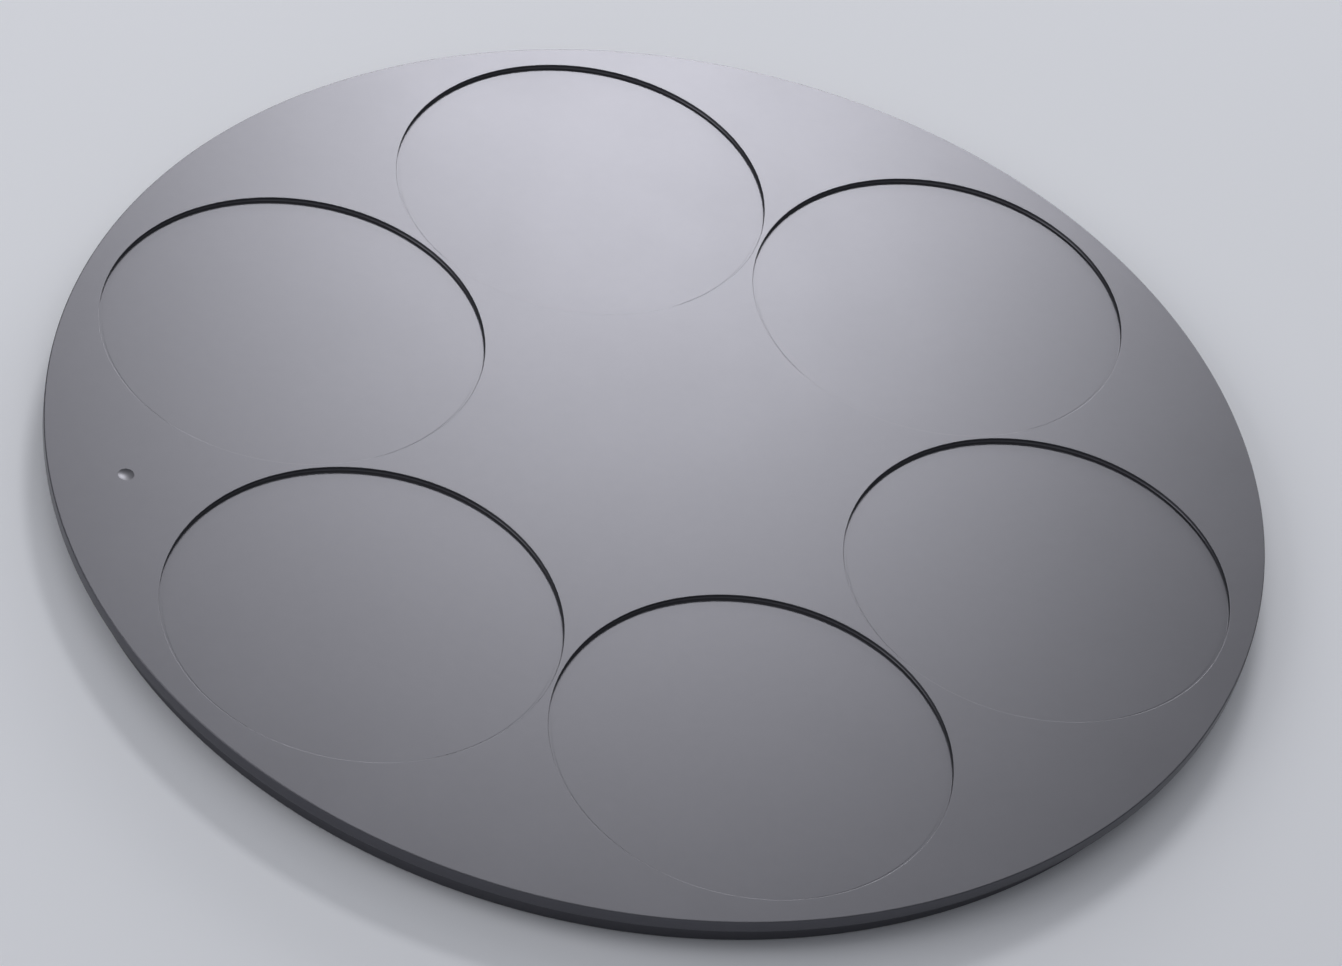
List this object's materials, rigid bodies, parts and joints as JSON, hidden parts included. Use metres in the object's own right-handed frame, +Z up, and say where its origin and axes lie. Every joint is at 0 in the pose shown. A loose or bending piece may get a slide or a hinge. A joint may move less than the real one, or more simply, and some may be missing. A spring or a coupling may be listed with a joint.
{
  "type": "wafer carrier tray",
  "caption": "Flat round graphite tray with a ring of shallow round pockets that hold wafers, a stepped rim to lift it by and a small dimple near the edge as an index mark.",
  "frame": {"origin": "centre of the flat underside, on the tray's axis", "axes": "+Z up through the tray's axis and out of the pockets; the first pocket lies on +Y, and the index dimple on -X"},
  "size_m": [0.319, 0.319, 0.011],
  "materials": {
    "coated_graphite": "satin, fine-grained dark grey silicon carbide coat over machined graphite"
  },
  "bodies": {
    "root": {"wafer_tray": "coated_graphite"}
  },
  "joints": []
}
